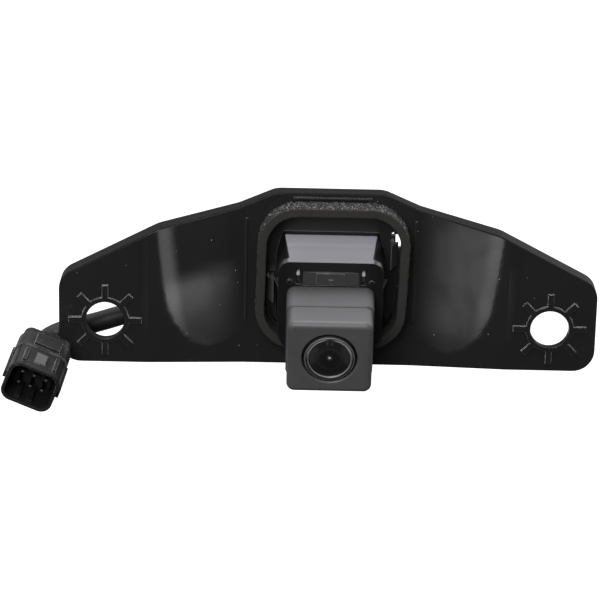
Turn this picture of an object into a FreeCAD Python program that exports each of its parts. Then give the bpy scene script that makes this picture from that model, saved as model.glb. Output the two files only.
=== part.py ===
import FreeCAD, Part
import math
import os

# Rear-view camera on its mounting bracket, with cable and connector.
# Millimetres, +Z up.  The origin is midway between the two mounting-hole
# centres, on the front face of the bracket's wings.  The camera looks
# towards -Y, so front is -Y and left is -X.

os.makedirs("parts", exist_ok=True)
Vec = FreeCAD.Vector

# ---- main dimensions -------------------------------------------------

# bracket
bracket_half_w = 80.0
bracket_bottom = -13.3
bracket_wall = 2.0         # plate and flange
bracket_depth = 7.4        # rear rim of the flange
panel_setback = 2.0        # centre panel lies this far behind the wings
panel_half_w = 25.2
wing_start = 53.5          # ramps run from panel_half_w out to here
panel_back = panel_setback + bracket_wall

# see-through notch shared by the bracket and the holder flange
notch_x0, notch_x1, notch_z0, notch_z1, notch_r = 18.3, 22.4, 23.1, 27.9, 0.8

# foam gasket
foam_front = -6.0
foam_band = 2.7
tape_t = 0.2

# camera pose: front-face centre and downward tilt of the optical axis
cam_pos = Vec(0.5, -32.0, 0.7)
cam_tilt = 13.6

# camera housings, camera frame: x right, y backwards along the axis, z up
front_w, front_h, front_len, front_r = 24.6, 23.7, 9.0, 2.4
rear_w, rear_h, rear_end, rear_r = 25.4, 25.1, 19.1, 2.6
lens_bore_r = 8.0
screw_spots = [(-8.9, -8.4), (8.9, -8.4), (8.9, 8.4), (-8.9, 8.4)]

# holder: flange behind the centre panel, tilted plate behind the camera
flange_y0, flange_y1 = panel_back + 0.02, panel_back + 1.8
plate_half_w, plate_z0, plate_z1 = 15.3, -11.0, 20.6
plate_y0 = rear_end + 0.02
plate_y1 = plate_y0 + 1.8

# cable and connector
cable_r = 3.05
core_r = 2.25
con_mouth = Vec(-85.7, -30.0, -10.7)
con_axis = Vec(-0.06, -0.993, -0.10)     # direction the mouth faces
con_roll = 22.0
con_w, con_h, con_len = 15.5, 13.0, 20.0
pin_pitch = 3.6


# ---- helpers ---------------------------------------------------------

def box(x0, x1, y0, y1, z0, z1):
    return Part.makeBox(x1 - x0, y1 - y0, z1 - z0, Vec(x0, y0, z0))


def side_box(side, x_in, x_out, *yz):
    """Box between two distances from X 0, on the side -1 or +1."""
    x0, x1 = sorted((side * x_in, side * x_out))
    return box(x0, x1, *yz)


def box_at(x, z, half_x, half_z, y0, y1):
    return box(x - half_x, x + half_x, y0, y1, z - half_z, z + half_z)


def cyl(r, y0, y1, x=0.0, z=0.0):
    return Part.makeCylinder(r, y1 - y0, Vec(x, y0, z), Vec(0, 1, 0))


def rounded_corner(before, corner, after, r):
    """Start, middle and end of the arc that rounds a corner."""
    to_before = (before - corner).normalize()
    to_after = (after - corner).normalize()
    angle = math.acos(max(-1.0, min(1.0, to_before.dot(to_after))))
    trim = r / math.tan(angle / 2)
    bisector = (to_before + to_after).normalize()
    middle = corner + bisector * (r / math.sin(angle / 2) - r)
    return corner + to_before * trim, middle, corner + to_after * trim


def rounded_wire(corners, y=0.0):
    """Closed wire in the plane Y=y through (x, z, corner radius)."""
    pts = [Vec(x, y, z) for x, z, _ in corners]
    count = len(pts)
    arcs = [rounded_corner(pts[i - 1], pts[i], pts[(i + 1) % count], corners[i][2])
            for i in range(count)]
    edges = []
    for i, (start, middle, end) in enumerate(arcs):
        edges.append(Part.Arc(start, middle, end).toShape())
        following = arcs[(i + 1) % count][0]
        if (following - end).Length > 1e-6:
            edges.append(Part.makeLine(end, following))
    return Part.Wire(edges)


def prism(corners, y0, y1):
    return Part.Face(rounded_wire(corners, y0)).extrude(Vec(0, y1 - y0, 0))


def rbox(x0, x1, y0, y1, z0, z1, r, top_r=None):
    """Box with its four Y-parallel edges rounded."""
    top_r = r if top_r is None else top_r
    return prism([(x0, z0, r), (x1, z0, r), (x1, z1, top_r), (x0, z1, top_r)], y0, y1)


def centred_rbox(half_x, half_z, y0, y1, r):
    return rbox(-half_x, half_x, y0, y1, -half_z, half_z, r)


def polygon_face(points):
    return Part.Face(Part.makePolygon(points + [points[0]]))


def rev(profile):
    """Solid of revolution about the Y axis from (radius, y) points."""
    face = polygon_face([Vec(r, y, 0) for r, y in profile])
    return face.revolve(Vec(0, 0, 0), Vec(0, 1, 0), 360)


def fuse_all(shapes):
    result = shapes[0]
    for shape in shapes[1:]:
        result = result.fuse(shape)
    return result


def tube_path(points, r):
    """Round bar through points with ball joints at the bends."""
    bars = [Part.makeCylinder(r, (end - start).Length, start, end - start)
            for start, end in zip(points[:-1], points[1:])]
    balls = [Part.makeSphere(r, p) for p in points[1:-1]]
    return fuse_all(bars + balls).removeSplitter()


def edge_mid(edge):
    return edge.valueAt((edge.FirstParameter + edge.LastParameter) / 2)


def at_y(y):
    """Edge selector: the edge's middle lies in the plane Y=y."""
    return lambda edge: abs(edge_mid(edge).y - y) < 0.01


def dress(shape, method, size, pick):
    # Guards against an edge treatment the kernel cannot build: the shape
    # is then left with its sharp edges.
    try:
        out = getattr(shape, method)(size, [e for e in shape.Edges if pick(e)])
        if out.isValid() and out.Volume > 0:
            return out
    except Exception:
        pass
    return shape


def fillet(shape, r, pick):
    return dress(shape, "makeFillet", r, pick)


def chamfer(shape, size, pick):
    return dress(shape, "makeChamfer", size, pick)


def connector_frame():
    """Frame of the connector: mouth at y 0, y backwards."""
    back = Vec(con_axis).normalize() * -1.0
    level = back.cross(Vec(0, 0, 1)).normalize()
    upright = level.cross(back)
    roll = math.radians(con_roll)
    right = level * math.cos(roll) - upright * math.sin(roll)
    up = upright * math.cos(roll) + level * math.sin(roll)
    return back, FreeCAD.Placement(FreeCAD.Matrix(
        right.x, back.x, up.x, con_mouth.x,
        right.y, back.y, up.y, con_mouth.y,
        right.z, back.z, up.z, con_mouth.z,
        0, 0, 0, 1))


cam_frame = FreeCAD.Placement(cam_pos, FreeCAD.Rotation(Vec(1, 0, 0), cam_tilt))
con_back, con_frame = connector_frame()


def placed(frame, shape):
    moved = shape.copy()
    moved.Placement = frame.multiply(moved.Placement)
    return moved


def to_cam(shape):
    return placed(cam_frame, shape)


def save(name, shape):
    shape.exportStep("parts/%s.step" % name)


def save_cam(name, *shapes):
    """Save one shape, or several as a compound, from the camera frame."""
    moved = [to_cam(s) for s in shapes]
    save(name, moved[0] if len(moved) == 1 else Part.makeCompound(moved))


def save_con(name, *shapes):
    """Save one shape, or several as a compound, from the connector frame."""
    moved = [placed(con_frame, s) for s in shapes]
    save(name, moved[0] if len(moved) == 1 else Part.makeCompound(moved))


# ---- mounting bracket ------------------------------------------------

rim_r = 0.4                # rounding between plate and flange
hole_x, hole_r = 66.2, 5.75
star_ring_r, star_spoke_r, star_spoke_w = 7.1, 10.9, 1.8
star_h = 0.6               # the star stands this far proud of the wing
opening = dict(x0=-17.6, x1=19.6, z0=-2.7, z1=33.4, r=8.0)
rib_y0, rib_y1 = panel_setback - 0.7, panel_setback + 0.3
# right half of the outline, bottom to top: x, z, corner radius
half_outline = [(bracket_half_w, bracket_bottom, 6.5), (bracket_half_w, 13.2, 6.3),
                (50.8, 28.4, 12.0), (26.8, 35.3, 7.0), (16.0, 40.0, 8.0)]
# ribs that frame the gasket: x0, x1, z0, z1
rib_table = [(-10.7, 12.5, 38.15, 38.75),
             (-10.7, -10.0, 37.65, 38.3), (11.8, 12.5, 37.65, 38.3),
             (-24.8, -24.2, 0.5, 32.0), (25.3, 25.9, 0.5, 32.0)]


def tray_space():
    """Everything behind the rear face of the wings, ramps and panel."""
    wall = bracket_wall
    section = [(-95, 40), (-95, wall), (-wing_start, wall), (-panel_half_w, panel_back),
               (panel_half_w, panel_back), (wing_start, wall), (95, wall), (95, 40)]
    return polygon_face([Vec(x, y, -40) for x, y in section]).extrude(Vec(0, 0, 100))


def bracket_blank(outer_wire):
    """Flat-faced blank with a rounded rim, set back at the centre panel and
    sheared between panel and wings to form the ramps."""
    blank = Part.Face(outer_wire).extrude(Vec(0, 14.0, 0))
    blank = fillet(blank, rim_r, lambda e: e.BoundBox.YMax < 0.01)
    reach = (-5, 30, -30, 60)
    slope = panel_setback / (wing_start - panel_half_w)
    centre = blank.copy()
    centre.translate(Vec(0, panel_setback, 0))
    solid = centre.common(box(-panel_half_w, panel_half_w, *reach))
    for side in (-1, 1):
        shear = FreeCAD.Matrix(1, 0, 0, 0,
                               -side * slope, 1, 0, slope * wing_start,
                               0, 0, 1, 0,
                               0, 0, 0, 1)
        ramp = blank.transformGeometry(shear).common(
            side_box(side, panel_half_w, wing_start, *reach))
        wing = blank.common(side_box(side, wing_start, 90, *reach))
        solid = solid.fuse(ramp).fuse(wing)
    return solid.common(box(-95, 95, -5, bracket_depth, -30, 60))


def star(centre_x):
    """Eight-spoked relief round a mounting hole."""
    back = 0.6
    pieces = [cyl(star_ring_r, -star_h, back, centre_x)]
    for k in range(8):
        spoke = box(centre_x, centre_x + star_spoke_r, -star_h, back,
                    -star_spoke_w / 2, star_spoke_w / 2)
        spoke.rotate(Vec(centre_x, 0, 0), Vec(0, 1, 0), 45.0 * k)
        pieces.append(spoke)
    return fuse_all(pieces)


def make_bracket():
    outer_wire = rounded_wire(half_outline + [(-x, z, r) for x, z, r in reversed(half_outline)])
    inner = Part.Face(outer_wire.makeOffset2D(-bracket_wall)).extrude(Vec(0, 30.0, 0))
    bracket = bracket_blank(outer_wire).cut(inner.common(tray_space()))
    for side in (-1, 1):
        bracket = bracket.fuse(star(side * hole_x))
    bracket = bracket.removeSplitter()
    for side in (-1, 1):
        bracket = bracket.cut(cyl(hole_r, -5, 8, side * hole_x))
    # opening for the camera holder, then the notch
    bracket = bracket.cut(rbox(opening["x0"], opening["x1"], -1, 8,
                               opening["z0"], opening["z1"], opening["r"]))
    bracket = bracket.cut(rbox(notch_x0, notch_x1, -1, panel_back + 0.01,
                               notch_z0, notch_z1, notch_r))
    for x0, x1, z0, z1 in rib_table:
        bracket = bracket.fuse(box(x0, x1, rib_y0, rib_y1, z0, z1))
    # upright webs inside the tray
    for side in (-1, 1):
        for x in (38.0, 50.0):
            web = box(side * x - 0.6, side * x + 0.6, 2.6, 5.4, bracket_bottom + 1.2, 26.0)
            bracket = bracket.fuse(web.common(inner))
    return bracket.removeSplitter()


save("mounting_bracket", make_bracket())


# ---- foam gasket and its tape ----------------------------------------

# gasket outline: x, z, corner radius
foam_outline = [(-21.6, -6.0, 12.0), (22.5, -6.0, 12.0), (24.3, 37.6, 12.0), (-20.9, 37.6, 12.0)]


def gasket_ring(outer_inset, inner_inset, y0, y1):
    """Ring between two inward offsets of the gasket outline."""
    wire = rounded_wire(foam_outline, y0)
    if outer_inset > 0:
        wire = wire.makeOffset2D(-outer_inset)
    outer = Part.Face(wire).extrude(Vec(0, y1 - y0, 0))
    inner_wire = rounded_wire(foam_outline, y0 - 1.0).makeOffset2D(-inner_inset)
    return outer.cut(Part.Face(inner_wire).extrude(Vec(0, y1 - y0 + 2.0, 0)))


tape_front = panel_setback - tape_t
save("foam_gasket",
     fillet(gasket_ring(0, foam_band, foam_front, tape_front), 0.45, at_y(foam_front)))
save("gasket_tape", gasket_ring(0.25, foam_band - 0.15, tape_front, panel_setback))


# ---- camera holder ---------------------------------------------------

holder_wall = 1.6
# snap hooks: name, side, low x, low z
hook_table = [("left_snap_hook", -1, -17.3, 7.6), ("right_snap_hook", 1, 18.1, 18.6)]
hook_t, hook_h = 1.1, 7.0


def snout_outline(centre_x, half_w, top_half_w, bottom, shoulder, top, bottom_r, inset, y):
    """Rounded at the bottom, chamfered at the top; inset shrinks it."""
    wide = half_w - inset
    narrow = top_half_w - inset * 0.8
    low = bottom + inset
    mid = shoulder - inset * 0.4
    high = top - inset
    low_r = bottom_r - inset * 0.6
    return rounded_wire([
        (centre_x - wide, low, low_r), (centre_x + wide, low, low_r),
        (centre_x + wide, mid, 2.0), (centre_x + narrow, high, 0.9),
        (centre_x - narrow, high, 0.9), (centre_x - wide, mid, 2.0)], y)


def snout_loft(rear_inset, plate_inset, floor=0.0):
    """Loft from the flange to the back of the tilted plate."""
    rear_wire = snout_outline(cam_pos.x, 16.1, 14.4, -1.6, 21.5, 27.9, 6.0,
                              rear_inset, flange_y1)
    plate_wire = snout_outline(0.0, plate_half_w, plate_half_w - 2.9, plate_z0 + floor,
                               plate_z1 - 5.0, plate_z1, 8.0, plate_inset, plate_y1)
    plate_wire.Placement = cam_frame.multiply(plate_wire.Placement)
    return Part.makeLoft([rear_wire, plate_wire], True, True)


def make_holder():
    flange = rbox(-20.4, 23.4, flange_y0, flange_y1, -5.4, 35.6, 9.0)
    snout = snout_loft(0.0, 0.2)
    hollow = snout_loft(holder_wall, holder_wall, floor=2.0)
    # the snout's underside steps up where it passes inside the gasket
    snout = snout.cut(box(-30, 30, foam_front - 2.3, flange_y0, -12.0, -2.85))
    plate = to_cam(rbox(-plate_half_w, plate_half_w, plate_y0, plate_y1 + 0.3,
                        plate_z0, plate_z1, 8.0, 3.6))
    holder = flange.fuse(snout).fuse(plate).removeSplitter()
    # the hollow stops at the back of the plate
    holder = holder.cut(hollow.cut(to_cam(box(-30, 30, -30, plate_y1, -40, 40))))
    # bulkheads either side of the cable passage, in the mouth of the snout
    for x0, x1 in ((4.6, 15.2), (-15.2, -6.4)):
        holder = holder.fuse(box(cam_pos.x + x0, cam_pos.x + x1,
                                 flange_y0 + 0.1, flange_y1, 3.0, 20.0))
    # passage for the camera neck, two slots and the tongue opening
    through = (plate_y0 - 1, plate_y1 + 1)
    holder = holder.cut(to_cam(centred_rbox(9.4, 8.0, *through, 1.2)))
    for side in (-1, 1):
        holder = holder.cut(to_cam(rbox(side * 9.45 - 0.68, side * 9.45 + 0.68, *through,
                                        13.2, 18.3, 0.25)))
    holder = holder.cut(to_cam(box(-8.3, 8.3, *through, 12.85, 17.45)))
    for side in (-1, 1):
        boss = cyl(0.9, plate_y0 - 0.55, plate_y0 + 0.5, side * 11.9, 13.9)
        holder = holder.fuse(to_cam(boss))
    # small gussets on the flanks of the plate
    for side in (-1, 1):
        corners = [(14.9, plate_y1 - 0.2), (14.9, plate_y1 + 7.0), (16.6, plate_y1 + 7.0)]
        gusset = polygon_face([Vec(side * x, y, 9.0) for x, y in corners])
        holder = holder.fuse(to_cam(gusset.extrude(Vec(0, 0, 0.9))))
    holder = holder.cut(rbox(notch_x0, notch_x1, flange_y0 - 0.1, flange_y1 + 0.1,
                             notch_z0, notch_z1, notch_r))
    for _, _, x0, z0 in hook_table:
        x1, z1 = x0 + hook_t, z0 + hook_h
        holder = holder.cut(box(x0 - 0.15, x1 + 0.15, flange_y0 - 0.1, flange_y1 + 0.1,
                                z0 - 0.4, z1 + 0.4))
        # web behind the root of the hook, clear of it
        web = box(x0 - 0.9, x1 + 0.5, flange_y1 - 0.1, flange_y1 + 1.2, z0 - 1.3, z1 + 1.0)
        web = web.cut(box(x0 - 0.3, x1 + 0.3, flange_y1 - 0.2, flange_y1 + 0.2,
                          z0 - 0.4, z1 + 0.4))
        holder = holder.fuse(web)
    # only the largest solid is the holder
    return max(holder.removeSplitter().Solids, key=lambda solid: solid.Volume)


def make_hook(side, x0, z0):
    """Arm running forward from the flange, with an outward barb."""
    x1 = x0 + hook_t
    outer, inner = (x0, x1) if side < 0 else (x1, x0)
    barb, tip = outer + side * 1.2, -3.3
    profile = [(inner, flange_y1), (outer, flange_y1), (outer, panel_setback - 0.05),
               (barb, panel_setback - 0.05), (barb, panel_setback - 0.5),
               (inner + side * 0.25, tip), (inner, tip)]
    return polygon_face([Vec(x, y, z0) for x, y in profile]).extrude(Vec(0, 0, hook_h))


def make_tongue():
    """Release tongue with its raised pad and triangular pointer."""
    tongue = rbox(-8.05, 8.05, plate_y0 + 0.1, plate_y0 + 1.4, 13.05, 17.25, 0.3)
    tongue = tongue.fuse(rbox(-4.2, 4.2, plate_y0 - 0.25, plate_y0 + 0.2, 13.15, 16.9, 0.3))
    corners = [(-0.75, 14.9), (0.75, 14.9), (0.0, 13.5)]
    pointer = polygon_face([Vec(x, plate_y0 - 0.45, z) for x, z in corners])
    return tongue.fuse(pointer.extrude(Vec(0, 0.3, 0))).removeSplitter()


save("camera_holder", make_holder())
for hook_name, hook_side, hook_x, hook_z in hook_table:
    save(hook_name, make_hook(hook_side, hook_x, hook_z))
save_cam("release_tongue", make_tongue())


# ---- camera housings (camera frame) ----------------------------------

neck_end = 30.0            # rear end of the round neck


def seal_ring(clearance, y0, y1):
    """Rectangular ring at the housing joint, thinner by the clearance."""
    outer = centred_rbox(11.9 - clearance, 11.45 - clearance, y0, y1, 1.8 - clearance)
    return outer.cut(centred_rbox(11.1 + clearance, 10.65 + clearance,
                                  front_len - 0.9, front_len + 0.2, 1.2))


def screw_post(r, y0, y1, x, z):
    """Post trimmed to stay inside the housing walls."""
    return cyl(r, y0, y1, x, z).common(box_at(0, 0, 11, 10.5, 0, 20))


def is_lens_rim(edge):
    mid = edge_mid(edge)
    return (abs(mid.y) < 0.01 and edge.Length > 40
            and abs(Vec(mid.x, 0, mid.z).Length - lens_bore_r) < 0.05)


def make_front_housing():
    front = centred_rbox(front_w / 2, front_h / 2, 0, front_len, front_r)
    front = fillet(front, 1.7, at_y(0))
    front = front.cut(centred_rbox(10.4, 10.0, 1.9, front_len + 1, 1.0))
    for x, z in screw_spots:
        front = front.fuse(screw_post(1.75, 1.8, front_len, x, z))
    collar = cyl(9.1, 1.8, 4.6)
    front = front.fuse(collar).cut(cyl(lens_bore_r, -1, 5)).removeSplitter()
    front = chamfer(front, 0.35, is_lens_rim)
    for x, z in screw_spots:
        front = front.cut(cyl(0.7, 4.2, front_len + 1, x, z))
    return front.cut(seal_ring(0.0, front_len - 0.8, front_len + 0.1))


def make_rear_housing():
    rear = centred_rbox(rear_w / 2, rear_h / 2, front_len, rear_end, rear_r)
    rear = chamfer(rear, 0.55, at_y(front_len))
    rear = fillet(rear, 0.4, at_y(rear_end))
    # square neck, then round neck
    rear = rear.fuse(rbox(-9.0, 9.0, rear_end - 1, 25.5, -6.9, 7.4, 1.0))
    rear = rear.fuse(cyl(5.2, 25.0, neck_end))
    # L-shaped arms that rise from the neck and turn forward at the top
    for side in (-1, 1):
        rear = rear.fuse(side_box(side, 7.6, 9.95, 21.3, 22.3, 5.6, 8.2))
        for y0, z0 in ((21.3, 7.0), (19.5, 15.9)):
            rear = rear.fuse(box(side * 9.5 - 0.45, side * 9.5 + 0.45, y0, 22.3, z0, 16.9))
    rear = rear.cut(centred_rbox(10.6, 10.1, front_len - 1, 17.3, 1.0))
    for x, z in screw_spots:
        rear = rear.fuse(screw_post(1.95, front_len, 17.6, x, z))
    for x, z in screw_spots:
        rear = rear.cut(cyl(0.95, front_len - 1, 20, x, z)).cut(cyl(1.6, 17.6, 20, x, z))
    rear = rear.cut(box(-7.4, 7.4, 17.0, 24.0, -5.6, 6.0))
    rear = rear.cut(cyl(4.2, 23.5, neck_end + 1.0))
    for x in (-10.0, 10.0):
        rear = rear.fuse(box_at(x, 0, 0.7, 1.5, 16.6, 17.5))
    return rear.removeSplitter()


def housing_screw(x, z):
    """Cross-slotted screw with its head at the back."""
    screw = cyl(0.69, 4.6, 17.7, x, z).fuse(cyl(1.45, 17.6, 18.7, x, z))
    screw = screw.cut(box_at(x, z, 0.9, 0.17, 18.2, 19))
    return screw.cut(box_at(x, z, 0.17, 0.9, 18.2, 19)).removeSplitter()


save_cam("front_housing", make_front_housing())
save_cam("housing_seal", seal_ring(0.05, front_len - 0.75, front_len))
save_cam("rear_housing", make_rear_housing())
save_cam("housing_screws", *[housing_screw(x, z) for x, z in screw_spots])


# ---- lens stack (camera frame) ---------------------------------------

element_r, spacer_bore_r = 3.96, 3.2
# inner elements: front y, back y, front bulge, back bulge (negative: hollow)
element_table = [(4.4, 5.3, 0.5, -0.3), (5.9, 7.2, 0.35, 0.3), (7.8, 9.4, 0.25, 0.3)]
# turned profiles: radius, y
ring_profile = [
    (6.0, 0.55), (6.0, 0.1), (6.45, -0.3), (7.1, -0.3), (7.45, 0.1),
    (7.45, 2.5), (7.03, 2.5), (7.03, 1.62), (6.4, 1.62), (6.4, 0.55)]
barrel_profile = [
    (6.38, 1.65), (7.0, 1.65), (7.0, 5.0), (5.6, 5.0), (5.6, 10.45), (3.2, 10.45),
    (3.2, 9.45), (4.0, 9.45), (4.0, 4.2), (5.3, 4.2), (5.3, 3.35), (6.38, 3.35)]


def lens_cap(r, sag, y, side):
    """Spherical cap of chord radius r standing sag proud of plane y, towards side."""
    sphere_r = (r * r + sag * sag) / (2 * sag)
    ball = Part.makeSphere(sphere_r, Vec(0, y - side * (sphere_r - sag), 0))
    limit = cyl(r + 1, y, y + sag + 1) if side > 0 else cyl(r + 1, y - sag - 1, y)
    return ball.common(limit)


def front_lens():
    """Meniscus with a domed outer face."""
    front_y, back_y = 0.4, 3.33
    lens = cyl(6.35, 0.57, back_y).fuse(cyl(5.9, front_y, 1.0))
    lens = lens.fuse(lens_cap(5.7, 0.85, front_y, -1)).removeSplitter()
    return lens.cut(lens_cap(4.4, 1.6, back_y, -1)).removeSplitter()


def inner_element(y0, y1, front_bulge, back_bulge):
    chord_r = 3.0
    element = cyl(element_r, y0, y1).fuse(lens_cap(chord_r, front_bulge, y0, -1))
    if back_bulge > 0:
        element = element.fuse(lens_cap(chord_r, back_bulge, y1, 1))
    else:
        element = element.cut(lens_cap(chord_r, -back_bulge, y1, -1))
    return element.removeSplitter()


def spacer(y0, y1):
    return rev([(spacer_bore_r, y0), (element_r, y0), (element_r, y1), (spacer_bore_r, y1)])


save_cam("lens_retaining_ring", rev(ring_profile))
save_cam("lens_barrel", rev(barrel_profile))
save_cam("front_lens", front_lens())
save_cam("lens_o_ring", Part.makeTorus(7.5, 0.49, Vec(0, 3.3, 0), Vec(0, 1, 0)))
save_cam("inner_lens_elements", *[inner_element(*row) for row in element_table])
save_cam("lens_spacers", *[spacer(ahead[1], behind[0])
                           for ahead, behind in zip(element_table, element_table[1:])])


# ---- lens mount and electronics (camera frame) -----------------------

board_t = 1.0
sensor_board_y = 13.0      # front faces of the two boards
processor_board_y = 15.6
sensor_board_back = sensor_board_y + board_t
processor_board_back = processor_board_y + board_t
post_clear_r = 2.15        # clearance round the screw posts
mount_screw_spots = [(-6.3, 6.3), (6.3, -6.3)]
# passives on the front of the processor board and the back of the sensor board: x, z
processor_passives = [(-5.4, 3.2), (-5.4, 1.2), (5.4, 4.2), (5.4, 2.0),
                      (5.2, -1.6), (-5.2, -2.2), (-2.0, 6.6), (1.4, 6.6)]
sensor_passives = [(-5.6, -1.0), (5.0, 0.6), (5.4, 5.8), (-3.4, -4.7)]


def make_lens_mount():
    mount = cyl(7.0, 5.05, 10.4).fuse(centred_rbox(8.0, 8.0, 10.2, sensor_board_y, 1.0))
    mount = mount.cut(cyl(5.62, 5.0, 10.6))
    mount = mount.cut(box_at(0, 0, 3.2, 3.2, 10, 11.3)).cut(box_at(0, 0, 3.9, 3.9, 11.2, 13.1))
    for x, z in mount_screw_spots:
        mount = mount.cut(cyl(0.62, 11.0, 13.1, x, z))
    for x, z in screw_spots:
        mount = mount.cut(cyl(post_clear_r, 4, 14, x, z))
    return mount.removeSplitter()


def board(y0):
    """Board with its corners cut away round the screw posts."""
    y1 = y0 + board_t
    plate = box_at(0, 0, 10.2, 9.7, y0, y1)
    for x, z in screw_spots:
        x0, x1 = sorted((x, x * 1.3))
        z0, z1 = sorted((z, z * 1.3))
        plate = plate.cut(cyl(post_clear_r, y0 - 1, y1 + 1, x, z))
        plate = plate.cut(box(x0, x1, y0 - 1, y1 + 1, z - post_clear_r, z + post_clear_r))
        plate = plate.cut(box(x - post_clear_r, x + post_clear_r, y0 - 1, y1 + 1, z0, z1))
    return plate


def make_sensor_board():
    plate = board(sensor_board_y)
    for x, z in mount_screw_spots:
        plate = plate.cut(cyl(0.75, 12, 15, x, z))
    return plate


def mount_screw(x, z):
    screw = cyl(0.6, 11.1, 14.2, x, z).fuse(cyl(1.15, sensor_board_back, 14.65, x, z))
    return screw.cut(box_at(x, z, 0.7, 0.13, 14.4, 15)).removeSplitter()


def passives(spots, y0):
    return [box_at(x, z, 0.5, 0.28, y0, y0 + 0.5) for x, z in spots]


save_cam("lens_mount", make_lens_mount())
save_cam("ir_filter", box_at(0, 0, 3.8, 3.8, 11.2, 11.5))
save_cam("sensor_board", make_sensor_board())
save_cam("image_sensor", box_at(0, 0, 3.4, 3.0, 12.1, sensor_board_y))
save_cam("lens_mount_screws", *[mount_screw(x, z) for x, z in mount_screw_spots])
save_cam("processor_board", board(processor_board_y))
save_cam("board_connector", box(-3.6, 3.6, sensor_board_back, processor_board_y, -7.6, -5.6))
save_cam("video_processor", box(-2.6, 2.6, 14.75, processor_board_y, -1.2, 4.0))
save_cam("board_passives", *passives(processor_passives, processor_board_y - 0.5),
         *passives(sensor_passives, sensor_board_back))
save_cam("wire_header", box_at(0, 0, 4.6, 2.2, processor_board_back, 19.6))


# ---- grommet, cable and camera wires ---------------------------------

grommet_bore_r = cable_r + 0.04
# grommet profile in the camera frame: radius, y
grommet_profile = [
    (grommet_bore_r, 24.2), (4.2, 24.2), (4.2, neck_end), (5.0, neck_end), (5.0, 31.4),
    (4.4, 31.8), (4.4, 32.6), (4.7, 32.8), (4.7, 33.4), (4.2, 33.8), (4.2, 34.4),
    (4.0, 35.2), (grommet_bore_r, 35.2)]
cable_y = 12.9             # the cable runs behind the plate at this y
pivot_x = -55.0            # where the cable is divided into root and tail

# cable centreline, from the camera neck to the back of the connector
cable_start = cam_frame.multVec(Vec(0, 25.0, 0))
neck_dir = (cam_frame.multVec(Vec(0, 26.0, 0)) - cable_start).normalize()
neck_bend = cable_start + neck_dir * ((cable_y - cable_start.y) / neck_dir.y)
plate_bend = Vec(-30.0, cable_y, 7.6)
wing_bend = Vec(-71.0, 13.5, -5.9)
edge_bend = Vec(-84.4, 14.0, -9.6)
cable_end = con_frame.multVec(Vec(0, 24.0, 0))
connector_bend = cable_end + con_back * ((-0.9 - cable_end.y) / con_back.y)
run_dir = (wing_bend - plate_bend).normalize()
pivot = plate_bend + run_dir * ((pivot_x - plate_bend.x) / run_dir.x)
tail_start = pivot + run_dir * 2.5


def rounded_path(points, radii):
    """Lines through points with an arc of the given radius at every inner corner."""
    edges = []
    current = points[0]
    for i, r in enumerate(radii, 1):
        start, middle, end = rounded_corner(points[i - 1], points[i], points[i + 1], r)
        edges.append(Part.makeLine(current, start))
        edges.append(Part.Arc(start, middle, end).toShape())
        current = end
    edges.append(Part.makeLine(current, points[-1]))
    return edges


def sweep(edges, r):
    """Round bar along the edges, one cylinder or torus piece per edge."""
    pieces = []
    for edge in edges:
        start = edge.valueAt(edge.FirstParameter)
        if isinstance(edge.Curve, Part.Line):
            run = edge.valueAt(edge.LastParameter) - start
            pieces.append(Part.makeCylinder(r, run.Length, start, run))
        else:
            tangent = edge.tangentAt(edge.FirstParameter)
            disc = Part.Face(Part.Wire([Part.makeCircle(r, start, tangent)]))
            turn = math.degrees(edge.LastParameter - edge.FirstParameter)
            pieces.append(disc.revolve(edge.Curve.Center, edge.Curve.Axis, turn))
    return fuse_all(pieces).removeSplitter()


def save_cable():
    """Root and tail, joined by a ball link in a socket at the pivot."""
    root = rounded_path([cable_start, neck_bend, plate_bend, pivot], [9.0, 40.0])
    root_core = sweep(root, core_r)
    socket = Part.makeSphere(2.1, pivot)
    save("cable_jacket", sweep(root, cable_r).cut(root_core).cut(socket))
    save("cable_core", root_core.cut(socket))
    tail = rounded_path([tail_start, wing_bend, edge_bend, connector_bend, cable_end],
                        [30.0, 8.0, 20.0])
    tail_core = sweep(tail, core_r)
    save("cable_tail_jacket", sweep(tail, cable_r).cut(tail_core))
    link_r = 1.6
    link = Part.makeCylinder(link_r, 2.6, pivot, run_dir).fuse(Part.makeSphere(link_r, pivot))
    save("cable_tail_core", tail_core.fuse(link).removeSplitter())


def camera_wires():
    """Six wires from a row at the header to a circle at the cable core."""
    angles = [math.radians(60 * i + 30) + math.pi * 0.83 for i in range(6)]
    # matched left to right so that the wires do not cross
    ends = sorted((1.35 * math.cos(angle), 1.35 * math.sin(angle)) for angle in angles)
    wires = []
    for i, (end_x, end_z) in enumerate(ends):
        x = -3.5 + 1.4 * i
        wires.append(tube_path([Vec(x, 19.6, 0), Vec(x, 21.0, 0),
                                Vec(end_x, 23.6, end_z), Vec(end_x, 25.0, end_z)], 0.42))
    return wires


save_cam("cable_grommet", rev(grommet_profile))
save_cable()
save_cam("camera_wires", *camera_wires())


# ---- connector (connector frame: mouth at y 0, y backwards) ----------

shell_half_w, shell_half_h = con_w / 2, con_h / 2
pin_spots = [(pin_pitch * i, z) for z in (1.9, -1.7) for i in (-1, 0, 1)]


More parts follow.
